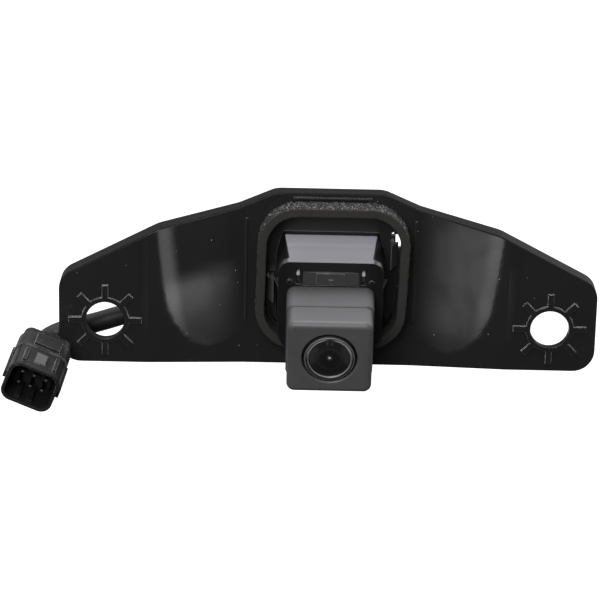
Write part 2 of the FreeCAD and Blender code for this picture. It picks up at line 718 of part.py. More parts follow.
def make_shell():
    half_w, half_h = shell_half_w, shell_half_h
    shell = centred_rbox(half_w, half_h, 0, con_len, 3.4)
    shell = fillet(shell, 0.45, at_y(0))
    # thicker band round the rear
    shell = shell.fuse(centred_rbox(half_w + 0.35, half_h + 0.35, 12.2, con_len, 3.5))
    # two rails on top with a ramped nub between them
    for x in (-4.6, 4.6):
        shell = shell.fuse(box(x - 0.55, x + 0.55, 1.6, 9.0, half_h - 0.3, half_h + 0.9))
    # nub profile: y, height above the shell
    nub_profile = [(3.0, -0.2), (3.2, 0.35), (5.4, 1.5), (6.9, 1.5), (7.0, -0.2)]
    nub = polygon_face([Vec(-1.6, y, half_h + rise) for y, rise in nub_profile])
    shell = shell.fuse(nub.extrude(Vec(3.2, 0, 0)))
    # side rails and a pad on top
    for side in (-1, 1):
        shell = shell.fuse(side_box(side, half_w - 0.2, half_w + 0.9, 2.4, 18.0, -1.1, 1.1))
    shell = shell.fuse(box(-3.4, 4.4, 13.0, 19.4, half_h, half_h + 1.3))
    # mouth cavity with two ribs on its floor
    shell = shell.cut(centred_rbox(half_w - 1.0, half_h - 1.0, -1, 11.0, 2.5))
    for x in (-2.6, 1.2):
        shell = shell.fuse(box(x - 0.8, x + 0.8, 1.4, 11.2, -half_h + 0.7, -half_h + 1.9))
    for x, z in pin_spots:
        shell = shell.cut(box_at(x, z, 0.36, 0.36, 10.5, 14.5))
    shell = shell.cut(centred_rbox(6.2, 4.9, 14.0, con_len + 1, 1.2))
    return shell.removeSplitter()


def terminal_pin(x, z):
    """Square pin with a chamfered tip and a round tail."""
    tip = 3.8
    pin = chamfer(box_at(x, z, 0.35, 0.35, tip, 14.2), 0.2, at_y(tip))
    return pin.fuse(cyl(0.8, 14.02, 16.2, x, z)).removeSplitter()


def make_lock():
    lock = rbox(-5.6, 5.6, 8.8, 10.98, -3.7, 4.4, 0.8)
    for x, z in pin_spots:
        lock = lock.cut(box_at(x, z, 0.5, 0.5, 8, 12))
    return lock


def make_wire_seal():
    seal = centred_rbox(6.18, 4.88, 16.6, 19.7, 1.2)
    for x, z in pin_spots:
        seal = seal.cut(cyl(0.64, 16, 20, x, z))
    return seal


def make_rear_cap():
    """Cap with a tapered cable outlet and a raised pad on top."""
    rear_cap = centred_rbox(7.3, 6.1, con_len + 0.02, 24.4, 2.4)
    rear_cap = rear_cap.fuse(Part.makeCone(5.3, 4.3, 4.6, Vec(0, 24.3, 0), Vec(0, 1, 0)))
    rear_cap = rear_cap.cut(centred_rbox(5.9, 4.7, con_len - 1, 23.4, 1.0))
    rear_cap = rear_cap.cut(cyl(cable_r + 0.14, 23.0, 30.0))
    return rear_cap.fuse(rbox(-2.2, 3.2, 20.4, 23.6, 5.8, 7.0, 0.4)).removeSplitter()


def connector_wire(x, z):
    """Wire from a pin, converging on the cable core."""
    end_x, end_z = x * 0.36, math.copysign(1.05, z)
    return tube_path([Vec(x, 16.2, z), Vec(x, 20.1, z),
                      Vec(end_x, 23.2, end_z), Vec(end_x, 23.93, end_z)], 0.6)


save_con("connector_shell", make_shell())
save_con("terminal_pins", *[terminal_pin(x, z) for x, z in pin_spots])
save_con("secondary_lock", make_lock())
save_con("wire_seal", make_wire_seal())
save_con("connector_rear_cap", make_rear_cap())
save_con("connector_wires", *[connector_wire(x, z) for x, z in pin_spots])
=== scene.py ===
"""A small vehicle camera on its mounting bracket, with a cable running to a plug.

The lens looks along -y, so front is -y; the cable leaves at the back (+y) and runs to the
plug on the -x side, whose mouth faces -y. This script gives the pieces their materials,
rebuilds the foam gasket and the cable jacket, and sets up the floor, reflectors, lights and
camera.
"""
import bpy
import math
from functools import cached_property
from mathutils import Vector, Matrix, noise


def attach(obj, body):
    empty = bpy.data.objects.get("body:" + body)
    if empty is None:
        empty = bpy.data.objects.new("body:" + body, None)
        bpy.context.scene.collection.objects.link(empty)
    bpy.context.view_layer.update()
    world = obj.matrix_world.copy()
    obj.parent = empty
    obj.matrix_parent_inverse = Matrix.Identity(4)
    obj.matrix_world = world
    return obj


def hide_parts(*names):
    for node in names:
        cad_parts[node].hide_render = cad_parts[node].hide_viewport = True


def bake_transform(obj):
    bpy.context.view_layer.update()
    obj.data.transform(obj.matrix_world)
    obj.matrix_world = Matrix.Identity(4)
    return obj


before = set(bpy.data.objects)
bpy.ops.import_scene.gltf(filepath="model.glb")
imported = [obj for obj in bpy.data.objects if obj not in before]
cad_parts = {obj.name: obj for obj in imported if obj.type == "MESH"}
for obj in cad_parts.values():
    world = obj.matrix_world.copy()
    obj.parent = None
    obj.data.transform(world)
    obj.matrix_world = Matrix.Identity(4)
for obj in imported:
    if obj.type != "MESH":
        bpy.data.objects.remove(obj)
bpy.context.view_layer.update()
MM = 0.001

# The camera unit's own frame: lens centre, and axes tilted back about x
UNIT_ORIGIN = Vector((0.5, -32.0, 0.7)) * MM
UNIT_TILT = math.radians(13.6)
UNIT_X = Vector((1, 0, 0))
UNIT_Z = Vector((0, -math.sin(UNIT_TILT), math.cos(UNIT_TILT)))

# The plug's own frame: mouth centre, y into the mouth, rolled about y
PLUG_MOUTH = Vector((-85.7, -30.0, -10.7)) * MM
PLUG_FACING = (-0.06, -0.993, -0.10)
PLUG_ROLL = math.radians(22.0)
PLUG_Y = -Vector(PLUG_FACING).normalized()
level_x = PLUG_Y.cross(Vector((0, 0, 1))).normalized()
level_z = level_x.cross(PLUG_Y)
PLUG_X = level_x * math.cos(PLUG_ROLL) - level_z * math.sin(PLUG_ROLL)
PLUG_Z = level_z * math.cos(PLUG_ROLL) + level_x * math.sin(PLUG_ROLL)
NUB_BASE_Z = 0.00680  # where the nub on the plug starts

# Foam gasket, millimetres: corners (x, z), seen from the front
FOAM_CORNERS = [(-21.6, -6.0), (22.5, -6.0), (24.3, 37.6), (-20.9, 37.6)]
FOAM_CORNER_RADIUS = 12.0
FOAM_BAND = 2.7
FOAM_FRONT_Y, FOAM_BACK_Y = -6.0, 1.79
FOAM_OUTER_ROUND, FOAM_INNER_ROUND = 0.45, 0.35
FOAM_STEP = 0.22
FOAM_SIDE_ROWS = 34

# Cable centre line, millimetres (x, y, z): from the unit, then on to the plug
CABLE_RADIUS = 3.05
CABLE_UNIT_END = [(0.5, -7.701, 6.579), (0.5, 12.9, 11.562), (-30.0, 12.9, 7.6)]
CABLE_PLUG_END = [(-71.0, 13.5, -5.9), (-84.4, 14.0, -9.6),
                  (-83.942, -0.9, -7.769), (-84.26, -6.164, -8.3)]
CABLE_BENDS = [9.0, 40.0, 30.0, 8.0, 20.0]  # radius at each inner point
CABLE_STEP = 0.55


# ------------------------------------------------------------------
# Node trees
# ------------------------------------------------------------------
class Value:
    """A shader output that combines with + - * like a number."""

    def __init__(self, tree, socket):
        self.tree = tree
        self.socket = socket

    def __add__(self, other):
        return self.tree.math("ADD", self, other)

    def __radd__(self, other):
        return self.tree.math("ADD", other, self)

    def __sub__(self, other):
        return self.tree.math("SUBTRACT", self, other)

    def __rsub__(self, other):
        return self.tree.math("SUBTRACT", other, self)

    def __mul__(self, other):
        return self.tree.math("MULTIPLY", self, other)

    def __abs__(self):
        return self.tree.math("ABSOLUTE", self)

    def ramp(self, over, to=(0.0, 1.0), smooth=True):
        """Map the range `over` onto the range `to`, held at both ends."""
        return self.tree.make("ShaderNodeMapRange", dict(enumerate((self, *over, *to))),
                              interpolation_type="SMOOTHSTEP" if smooth else "LINEAR")


class Tree:
    """An emptied node tree with short ways to add nodes."""

    def __init__(self, node_tree):
        self.node_tree = node_tree
        node_tree.nodes.clear()

    def put(self, socket, value):
        if isinstance(value, Value):
            self.node_tree.links.new(value.socket, socket)
        elif socket.type == "RGBA":
            socket.default_value = (*value, 1.0)
        else:
            socket.default_value = value

    def node(self, kind, inputs, **settings):
        node = self.node_tree.nodes.new(kind)
        for key, value in settings.items():
            setattr(node, key, value)
        for key, value in inputs.items():
            self.put(node.inputs[key], value)
        return node

    def make(self, kind, inputs={}, out=0, **settings):
        """Add a node and return one of its outputs."""
        return Value(self, self.node(kind, inputs, **settings).outputs[out])

    def math(self, operation, *values, clamp=False):
        return self.make("ShaderNodeMath", dict(enumerate(values)),
                         operation=operation, use_clamp=clamp)

    def xyz(self, vector):
        node = self.node("ShaderNodeSeparateXYZ", {0: vector})
        return [Value(self, socket) for socket in node.outputs]


class Look(Tree):
    """A material under construction."""

    INPUTS = {"color": "Base Color", "rough": "Roughness", "metal": "Metallic",
              "normal": "Normal", "spec": "Specular IOR Level", "coat_rough": "Coat Roughness",
              "ior": "IOR", "trans": "Transmission Weight"}

    def __init__(self, name):
        self.mat = bpy.data.materials.new(name)
        self.mat.use_nodes = True
        super().__init__(self.mat.node_tree)

    @cached_property
    def place(self):
        return self.make("ShaderNodeTexCoord", out="Object")

    def surface(self, shader):
        self.node("ShaderNodeOutputMaterial", {0: shader})

    def finish(self, **values):
        inputs = {self.INPUTS[key]: value for key, value in values.items()}
        self.bsdf = self.node("ShaderNodeBsdfPrincipled", inputs)
        self.surface(Value(self, self.bsdf.outputs[0]))
        return self

    def noise(self, scale, detail=3.0, rough=0.55, distort=0.0, vec=None, out=0):
        return self.make("ShaderNodeTexNoise", {
            "Vector": vec or self.place, "Scale": scale, "Detail": detail,
            "Roughness": rough, "Distortion": distort}, out=out)

    def voronoi(self, scale, feature="F1", vec=None, randomness=1.0):
        return self.make("ShaderNodeTexVoronoi", {
            "Vector": vec or self.place, "Scale": scale, "Randomness": randomness},
            out="Distance", feature=feature)

    def mix(self, factor, first, second):
        return self.make("ShaderNodeMix", {0: factor, 6: first, 7: second}, out=2,
                         data_type="RGBA")

    def shade(self, color, factor):
        """Multiply a colour by one factor."""
        grey_factor = self.make("ShaderNodeCombineColor", {0: factor, 1: factor, 2: factor})
        return self.make("ShaderNodeMix", {0: 1.0, 6: color, 7: grey_factor}, out=2,
                         data_type="RGBA", blend_type="MULTIPLY")

    def bump(self, height, strength, depth, normal=None):
        inputs = {"Strength": strength, "Distance": depth, "Height": height}
        if normal is not None:
            inputs["Normal"] = normal
        return self.make("ShaderNodeBump", inputs)

    def bevel(self, radius):
        return self.make("ShaderNodeBevel", {"Radius": radius}, samples=4)

    def normal(self):
        return self.make("ShaderNodeNewGeometry", out="True Normal")

    def dot(self, first, second):
        return self.make("ShaderNodeVectorMath", {0: first, 1: second}, out="Value",
                         operation="DOT_PRODUCT")

    def stretched(self, *scale):
        return self.make("ShaderNodeMapping", {"Vector": self.place, "Scale": scale})

    def radius(self, x, z):
        return self.math("SQRT", x * x + z * z)

    def edges(self, radius, over=(0.02, 0.12), lift=0.0):
        """1 on sharp edges, 0 on open faces; lift favours the edges that look upwards, as for
        highlights painted from the light above.
        """
        rounded = self.bevel(radius)
        sharp = (1.0 - self.dot(rounded, self.normal())).ramp(over=over)
        if not lift:
            return sharp
        upward = self.xyz(rounded)[2].ramp(over=(-0.25, 0.25), to=(1.0 - lift, 1.0))
        return upward * sharp

    def local(self, origin, axes):
        """The shaded point measured from origin along each axis, in metres."""
        offset = self.make("ShaderNodeVectorMath", {0: self.place, 1: origin},
                           operation="SUBTRACT")
        return [self.dot(offset, axis) for axis in axes]


def grey(level):
    return (level, level, level)


def lighter(color, gain, lift=0.0):
    return tuple(min(1, c * gain + lift) for c in color)


# ------------------------------------------------------------------
# Material families
# ------------------------------------------------------------------
def plastic(name, base, rough, grain=2600.0, grain_bump=0.25, grain_depth=0.00004, var=0.12,
            scuff=0.15, edge=0.00022, spec=0.5, light=None, big=60.0, edge_wear_and_highlight=0.0,
            edge_wear_and_highlight_color=None, speckle=0.0, detail=None):
    """Moulded plastic: fine grain, broad shade drift, faint scuffs, softened edges.

    grain and big are noise scales, var is the shade drift, and scuff, edge wear and speckle are
    amounts; the edge wear is partly real wear and partly painted highlight.
    detail(look, color, spec) may add marks, painted highlights or painted shade of its own.
    """
    look = Look(name)
    fine = look.noise(scale=grain, detail=2.0, rough=0.6)
    broad = look.noise(scale=big, detail=4.0, rough=0.6)
    scratches = look.noise(scale=420.0, detail=5.0, rough=0.7,
                           vec=look.stretched(1.0, 0.25, 3.2))
    marks = scratches.ramp(over=(0.60, 0.78))
    drift = broad * (2 * var) + (1.0 - var) + (fine - 0.5) * (var * 1.2)
    color = look.shade(base, drift)
    color = look.mix(marks * scuff, color, light or lighter(base, gain=2.2, lift=0.02))
    roughness = rough + (broad - 0.5) * 0.18
    roughness = look.math("ADD", roughness, marks * 0.12, clamp=True)
    if speckle:
        dots = look.noise(scale=1500.0, detail=4.0, rough=0.8).ramp(over=(0.56, 0.70))
        patches = look.noise(scale=160.0, detail=3.0, rough=0.6).ramp(over=(0.40, 0.62))
        color = look.mix(dots * patches * speckle, color, lighter(light, gain=2.2))
    # pale edges: partly real wear, partly a painted highlight where the edges catch the light
    if edge_wear_and_highlight:
        uneven = look.noise(scale=350.0, detail=4.0, rough=0.7)
        worn_and_lit_edges = look.edges(edge) * uneven.ramp(over=(0.36, 0.60), to=(0.25, 1.0))
        color = look.mix(worn_and_lit_edges * edge_wear_and_highlight, color,
                         edge_wear_and_highlight_color or light or lighter(base, gain=2.6, lift=0.03))
    if detail:
        color, spec = detail(look, color, spec)
    rounded = look.bevel(edge) if edge else None
    return look.finish(color=color, rough=roughness, spec=spec, coat_rough=0.1,
                       normal=look.bump(fine, grain_bump, grain_depth, rounded))


def rubber(name, base, rough):
    """Soft matt rubber with a little dust."""
    look = Look(name)
    fine = look.noise(scale=1800.0, detail=3.0, rough=0.65)
    broad = look.noise(scale=90.0)
    dust = look.noise(scale=260.0, detail=5.0, rough=0.7).ramp(over=(0.56, 0.74))
    color = look.shade(base, broad * 0.5 + 0.75)
    color = look.mix(dust * 0.18, color, lighter(base, gain=1.8, lift=0.04))
    return look.finish(color=color, rough=(rough - 0.08) + fine * 0.16, spec=0.35,
                       normal=look.bump(fine + broad * 0.6, strength=0.35, depth=0.00006))


def metal(name, base, rough, streak=(1.0, 1.0, 14.0)):
    """Brushed metal; streak squeezes the brushing along x, y and z."""
    look = Look(name)
    brushing = look.noise(scale=900.0, detail=4.0, rough=0.6, vec=look.stretched(*streak))
    spots = look.noise(scale=220.0, detail=4.0, rough=0.6)
    bump = look.bump(brushing, strength=0.2, depth=0.00003, normal=look.bevel(0.00012))
    return look.finish(color=look.shade(base, spots * 0.3 + 0.85), metal=1.0,
                       rough=(rough - 0.08) + brushing * 0.2, normal=bump)


# ------------------------------------------------------------------
# Painted highlights, painted shade and marks on single pieces, passed to plastic(); lengths in
# metres
# ------------------------------------------------------------------
def painted_prong_tip_highlights(look, color, spec):
    """Painted highlights: paler ends of the two prongs high on either side of the rear housing.
    """
    x, z = look.local(UNIT_ORIGIN, (UNIT_X, UNIT_Z))
    tips = z.ramp(over=(0.01525, 0.0154)) * abs(x).ramp(over=(0.0086, 0.0088))
    return look.mix(tips, color, grey(0.34)), spec


def painted_top_shade(look, color, spec):
    """Painted shade: upward faces a little darker than the front."""
    upward = look.xyz(look.normal())[2]
    return look.shade(color, upward.ramp(over=(0.15, 0.85), to=(1.06, 0.80))), spec


def painted_ring_highlights(look, color, spec):
    """Painted highlights: thin pale circles in the ring, palest in its two upper quarters."""
    x, z = look.local(UNIT_ORIGIN, (UNIT_X, UNIT_Z))
    from_axis = look.radius(x, z)

    def highlight_circle(radius, half_width):
        return abs(from_axis - radius).ramp(over=(half_width, half_width * 0.4))

    upper = z.ramp(over=(-0.0005, 0.0042)) * abs(x).ramp(over=(0.0004, 0.0022))
    inner = highlight_circle(radius=0.00622, half_width=0.00016) * (0.30 + upper * 0.70)
    second = highlight_circle(radius=0.00658, half_width=0.00012) * (upper * 0.85)
    outer = highlight_circle(radius=0.00712, half_width=0.00012) * 0.28
    ring_highlights = look.math("MAXIMUM", inner, look.math("MAXIMUM", second, outer))
    return look.mix(ring_highlights, color, grey(0.42)), spec


def mouth_shade_and_marks(look, color, spec):
    """Painted shade fills the cavity, near-black and duller; a paler nub sits above it and a
    dark lower rim below.
    """
    x, y, z = look.local(PLUG_MOUTH, (PLUG_X, PLUG_Y, PLUG_Z))
    # half width, half height, front and back of the cavity
    cavity_shade = (abs(x).ramp(over=(0.00700, 0.00685)) * abs(z).ramp(over=(0.00575, 0.00560))
              * y.ramp(over=(0.0, 0.0004)) * y.ramp(over=(0.0130, 0.0125)))
    # half width and base of the nub, then its front and back
    nub = (abs(x).ramp(over=(0.00172, 0.00164))
           * z.ramp(over=(NUB_BASE_Z - 0.0001, NUB_BASE_Z)))
    nub = nub * (y.ramp(over=(0.0028, 0.0030)) * y.ramp(over=(0.0072, 0.0070)))
    low_rim = y.ramp(over=(0.0014, 0.0008)) * z.ramp(over=(0.0025, 0.0005))
    color = look.mix(nub * 0.85, color, grey(0.06))
    color = look.mix(low_rim * 0.9, color, (0.010, 0.010, 0.0102))
    # painted shade: the cavity goes near-black and loses most of its gloss
    color = look.mix(cavity_shade * 0.9, color, (0.0085, 0.0085, 0.0086))
    return color, (1.0 - cavity_shade * 0.8) * spec


# ------------------------------------------------------------------
# Single materials; lengths in metres
# ------------------------------------------------------------------
def bracket_black():
    """Glossy black moulding with flow marks, dust specks, painted highlights on its rims and
    painted shade on its upward faces.
    """
    look = Look("bracket_black")
    fine = look.noise(scale=1500.0, detail=3.0, rough=0.6)
    broad = look.noise(scale=35.0, detail=4.0, rough=0.55)
    flow = look.noise(scale=120.0, detail=3.0, rough=0.5, vec=look.stretched(0.35, 1.0, 1.6))
    specks = look.voronoi(scale=520.0).ramp(over=(0.05, 0.10), to=(1.0, 0.0))
    dust = specks * look.noise(scale=230.0, detail=2.0, rough=0.5).ramp(over=(0.60, 0.63))
    color = look.shade((0.0098, 0.0098, 0.0101), broad * 0.5 + 0.75)
    color = look.mix(dust * 0.8, color, grey(0.25))

    # painted highlights on the rims, palest in a ring around the centre of each end of the
    # bracket
    uneven = look.noise(scale=300.0, detail=4.0, rough=0.7)
    rim_highlight = (look.edges(0.00026, over=(0.03, 0.14), lift=0.75)
           * uneven.ramp(over=(0.34, 0.56), to=(0.35, 1.0)))
    end_centre_x = 0.0662
    x, y, z = look.xyz(look.place)
    from_centre = look.radius(abs(x) - end_centre_x, z)
    star = from_centre.ramp(over=(0.0125, 0.0118)) * from_centre.ramp(over=(0.0062, 0.0066))
    rim_highlight = rim_highlight * (0.45 + star * 0.55)
    color = look.mix(rim_highlight * 0.9, color, look.mix(star, grey(0.09), grey(0.42)))
    rough = 0.008 + flow * 0.016 + rim_highlight * 0.25
    rough = look.math("ADD", rough, dust * 0.4, clamp=True)

    # painted shade: upward faces are darker and duller
    upward = look.xyz(look.normal())[2].ramp(over=(0.05, 0.30))
    color = look.mix(upward * 0.72, color, (0.0012, 0.0012, 0.0013))
    rough = look.math("ADD", rough, upward * 0.62, clamp=True)
    bump = look.bump(fine * 0.3 + flow * 2.0, strength=0.04, depth=0.00003,
                     normal=look.bevel(0.00025))
    return look.finish(color=color, rough=rough, spec=0.42 - upward * 0.37, normal=bump)


def holder_black():
    """Black plastic whose sloping top facet is painted pale and slightly blue as a highlight
    from the light above; its upward rims carry painted highlights.
    """
    look = Look("holder_black_facet")
    fine = look.noise(scale=2200.0, detail=2.0, rough=0.6)
    broad = look.noise(scale=60.0, detail=4.0, rough=0.6)
    upward = look.xyz(look.normal())[2]
    x, y, z = look.xyz(look.place)

    # the facet widens towards the back; it is bounded by slope, back, sides, front and height
    centre_x = 0.0004
    half_width = y.ramp(over=(-0.0185, 0.001), to=(0.0124, 0.0152), smooth=False)
    beyond = abs(x - centre_x) - half_width
    facet = (upward.ramp(over=(0.90, 0.97)) * y.ramp(over=(0.0016, 0.0010))
             * beyond.ramp(over=(0.0001, -0.0002)) * y.ramp(over=(-0.0186, -0.0183))
             * z.ramp(over=(0.0245, 0.0250)))

    drift = 0.88 + broad * 0.24
    dark = look.shade((0.0048, 0.0048, 0.0050), drift)
    # painted light: the facet brightens towards the back in two stages, cancelling the shade
    # cast by the foam ring
    facet_light_gradient = (y.ramp(over=(-0.018, -0.008), to=(0.68, 0.98), smooth=False)
                  * y.ramp(over=(-0.008, -0.002), to=(1.0, 2.6), smooth=False))
    facet_highlight = look.shade((0.134, 0.134, 0.1455), drift * facet_light_gradient)
    # painted highlights on the upward rims, away from the facet
    rim_highlight = look.edges(0.00022, over=(0.03, 0.16), lift=0.7) * (1.0 - facet)
    color = look.mix(rim_highlight * 0.8, look.mix(facet, dark, facet_highlight), (0.16, 0.16, 0.165))
    bump = look.bump(fine, strength=0.18, depth=0.00004, normal=look.bevel(0.00025))
    return look.finish(color=color, rough=facet * 0.16 + (0.29 + broad * 0.16),
                       spec=0.36 - facet * 0.24, normal=bump)


def tin_pin():
    """Tin pins whose sides are darkened by painted shade, except for duller ends that face out
    of the plug.
    """
    look = metal("tin_pin", (0.30, 0.29, 0.26), rough=0.36, streak=(14.0, 1.0, 14.0))
    tips = look.dot(look.normal(), PLUG_FACING).ramp(over=(0.30, 0.65))
    color, metallic = look.bsdf.inputs["Base Color"], look.bsdf.inputs["Metallic"]
    # painted shade: the pin sides keep only a twentieth of the metal's colour
    sides = look.shade(Value(look, color.links[0].from_socket), 0.05)
    look.put(color, look.mix(tips, sides, (0.060, 0.060, 0.058)))
    look.put(metallic, 1.0 - tips * 0.7)
    return look


def board_green():
    look = Look("board_green")
    cells = look.voronoi(scale=420.0, feature="DISTANCE_TO_EDGE", randomness=0.35)
    traces = cells.ramp(over=(0.02, 0.05), to=(1.0, 0.0))
    fibres = look.noise(scale=900.0, detail=2.0)
    return look.finish(color=look.mix(traces * 0.6, (0.012, 0.075, 0.035), (0.03, 0.16, 0.07)),
                       rough=0.25 + fibres * 0.2,
                       normal=look.bump(traces, strength=0.3, depth=0.00003))


def lens_front_glass():
    """Dark coated glass with a faint inner stop, a painted highlight at the pupil with a halo
    around it, and painted reflections at its sides.
    """
    look = Look("lens_front_glass")
    x, z = look.local(UNIT_ORIGIN, (UNIT_X, UNIT_Z))
    from_axis = look.radius(x, z)
    smudge = look.noise(scale=300.0, detail=4.0, rough=0.6)
    z = z - 0.0006  # the painted pupil highlight sits above the lens axis
    from_pupil = look.radius(x, z)
    pupil_highlight = from_pupil.ramp(over=(0.00030, 0.00040), to=(1.0, 0.0))
    pupil_halo_highlight = (from_pupil.ramp(over=(0.0005, 0.0006))
            * from_pupil.ramp(over=(0.0007, 0.0009), to=(1.0, 0.0)))
    stop = (from_axis.ramp(over=(0.0030, 0.0033))
            * from_axis.ramp(over=(0.0034, 0.0038), to=(1.0, 0.0)))
    # painted reflections: pale wedges at the left and right of the glass
    sideways = abs(x) - abs(z - 0.0008) * 0.9
    side_wedge_reflection = sideways.ramp(over=(0.0005, 0.0030)) * from_axis.ramp(over=(0.0028, 0.0050))

    color = look.mix(from_axis.ramp(over=(0.001, 0.006)),
                     (0.0065, 0.0065, 0.007), (0.009, 0.009, 0.0092))
    for factor, tint in (
        (stop * 0.35, (0.02, 0.02, 0.024)),
        (pupil_halo_highlight * 0.6, (0.05, 0.05, 0.055)),
        (pupil_highlight * 0.9, (0.34, 0.34, 0.35)),
        (side_wedge_reflection * 0.5, (0.028, 0.028, 0.029)),
    ):
        color = look.mix(factor, color, tint)
    return look.finish(color=color, rough=0.05 + smudge.ramp(over=(0.5, 0.8)) * 0.05,
                       spec=0.35, coat_rough=0.05)


def lens_inner_glass():
    look = Look("lens_inner_glass")
    smear = look.noise(scale=500.0, detail=2.0)
    return look.finish(color=(0.55, 0.62, 0.66), rough=smear * 0.08, trans=0.9, ior=1.6,
                       normal=look.bump(smear, strength=0.02, depth=0.00001))


def filter_glass():
    look = Look("filter_glass")
    smear = look.noise(scale=700.0, detail=2.0)
    return look.finish(color=look.mix(smear, (0.25, 0.6, 0.62), (0.35, 0.55, 0.7)),
                       rough=0.05 + smear * 0.06, trans=0.7, ior=1.5)


def foam_open_cell():
    """Open cells where the "skin" attribute is 0, a smooth cut skin where it is 1."""
    look = Look("foam_open_cell")
    skin = look.make("ShaderNodeAttribute", out="Fac", attribute_name="skin")
    swirl = look.noise(scale=900.0, detail=2.0, rough=0.5, out="Color")
    shift = look.make("ShaderNodeVectorMath", {0: swirl, "Scale": 0.0005}, operation="SCALE")
    warped = look.make("ShaderNodeVectorMath", {0: look.place, 1: shift}, operation="ADD")
    pores = look.voronoi(scale=1350.0, vec=warped).ramp(over=(0.22, 0.52))
    walls = pores * look.noise(scale=1600.0, detail=2.0, rough=0.6).ramp(over=(0.545, 0.585))
    open_color = look.mix(walls, (0.0018, 0.0018, 0.0017), (0.088, 0.088, 0.085))
    skin_color = look.mix(look.noise(scale=160.0, detail=4.0, rough=0.6),
                          (0.0105, 0.0101, 0.0093), (0.019, 0.018, 0.0163))
    flecks = look.noise(scale=1500.0, detail=2.0, rough=0.7).ramp(over=(0.6, 0.75))
    skin_color = look.mix(flecks * 0.35, skin_color, (0.07, 0.067, 0.062))
    height = pores * (1.0 - skin * 0.85) + look.noise(scale=2400.0, detail=2.0) * 0.4
    return look.finish(color=look.mix(skin, open_color, skin_color), rough=0.9, spec=0.25,
                       normal=look.bump(height, strength=0.7, depth=0.00018))


def cable_jacket_black():
    look = Look("cable_jacket_black")
    fine = look.noise(scale=1400.0, detail=3.0, rough=0.65)
    broad = look.noise(scale=70.0)
    rubbed = look.noise(scale=300.0, detail=5.0, rough=0.7).ramp(over=(0.55, 0.75))
    color = look.shade((0.006, 0.006, 0.0063), broad * 0.5 + 0.75)
    color = look.mix(rubbed * 0.25, color, grey(0.035))
    return look.finish(color=color, rough=0.42 + fine * 0.16, spec=0.14,
                       normal=look.bump(fine + broad * 1.5, strength=0.3, depth=0.00006))


# ------------------------------------------------------------------
# Materials onto the CAD pieces
# ------------------------------------------------------------------
# Each row: the material, then the pieces that wear it
PAINTED = (
    (bracket_black(), "mounting_bracket"),
    (holder_black(), "camera_holder"),
    (plastic("hook_black", (0.045, 0.045, 0.046), rough=0.34, grain=2200, grain_bump=0.2,
             edge=0.0002), "left_snap_hook right_snap_hook"),
    (plastic("tongue_grey", (0.024, 0.024, 0.0255), rough=0.42, grain=2400, edge=0.00018,
             edge_wear_and_highlight=0.8, edge_wear_and_highlight_color=grey(0.24)), "release_tongue"),
    (plastic("housing_grey", (0.048, 0.048, 0.0493), rough=0.46, grain=2100, grain_bump=0.8,
             grain_depth=0.00006, var=0.16, scuff=0.05, edge=0.0003, spec=0.34, edge_wear_and_highlight=0.35,
             detail=painted_top_shade), "front_housing"),
    (plastic("housing_grey_rear", (0.038, 0.038, 0.0391), rough=0.52, grain=1900,
             grain_bump=0.9, grain_depth=0.00007, var=0.26, scuff=0.08, edge=0.00025,
             spec=0.36, detail=painted_prong_tip_highlights), "rear_housing"),
    (plastic("ring_black", (0.014, 0.014, 0.0145), rough=0.42, grain_bump=0.08, var=0.1,
             scuff=0.05, edge=0.00018, spec=0.3, light=grey(0.22), detail=painted_ring_highlights),
     "lens_retaining_ring"),
    (plastic("barrel_black", (0.014, 0.014, 0.015), rough=0.42, grain_bump=0.2,
             edge=0.0001), "lens_barrel lens_spacers"),
    (plastic("connector_grey", (0.0092, 0.0092, 0.0095), rough=0.50, grain=1900,
             grain_bump=0.5, grain_depth=0.00006, var=0.32, scuff=0.75, light=grey(0.062),
             edge=0.0003, spec=0.08, big=140.0, edge_wear_and_highlight=0.9, edge_wear_and_highlight_color=grey(0.20),
             speckle=0.7, detail=mouth_shade_and_marks), "connector_shell"),
    (plastic("connector_cap", (0.0078, 0.0078, 0.0082), rough=0.55, grain=1900,
             grain_bump=0.5, var=0.32, scuff=0.7, light=grey(0.056), edge=0.00025,
             spec=0.08, edge_wear_and_highlight=0.8, edge_wear_and_highlight_color=grey(0.2), speckle=0.7), "connector_rear_cap"),
    (plastic("lock_black", grey(0.0048), rough=0.6, grain=1800, grain_bump=0.3, spec=0.12,
             scuff=0.0, edge=0.00012), "secondary_lock"),
    (plastic("nylon_natural", (0.62, 0.60, 0.54), rough=0.45, grain=1600, grain_bump=0.3,
             var=0.08, scuff=0.05, light=(0.8, 0.78, 0.72)), "board_connector wire_header"),
    (plastic("chip_black", (0.016, 0.016, 0.017), rough=0.6, grain=3000, grain_bump=0.5),
     "lens_mount image_sensor video_processor"),
    (plastic("ceramic_tan", (0.34, 0.26, 0.17), rough=0.5, grain=2200, grain_bump=0.3),
     "board_passives"),
    (plastic("wire_insulation", (0.26, 0.03, 0.025), rough=0.4, grain=1500, grain_bump=0.2,
             edge=0), "camera_wires connector_wires"),
    (rubber("tape_grey", (0.35, 0.35, 0.33), rough=0.7), "gasket_tape"),
    (rubber("rubber_black", (0.016, 0.016, 0.017), rough=0.62),
     "lens_o_ring cable_grommet cable_jacket cable_tail_jacket foam_gasket"),
    (rubber("seal_red", (0.24, 0.045, 0.025), rough=0.55), "housing_seal wire_seal"),
    (metal("foil_wrap", (0.55, 0.56, 0.58), rough=0.35), "cable_core cable_tail_core"),
    (metal("zinc_steel", (0.62, 0.61, 0.58), rough=0.3), "housing_screws lens_mount_screws"),
    (tin_pin(), "terminal_pins"),
    (board_green(), "sensor_board processor_board"),
    (lens_front_glass(), "front_lens"),
    (lens_inner_glass(), "inner_lens_elements"),
    (filter_glass(), "ir_filter"),
)
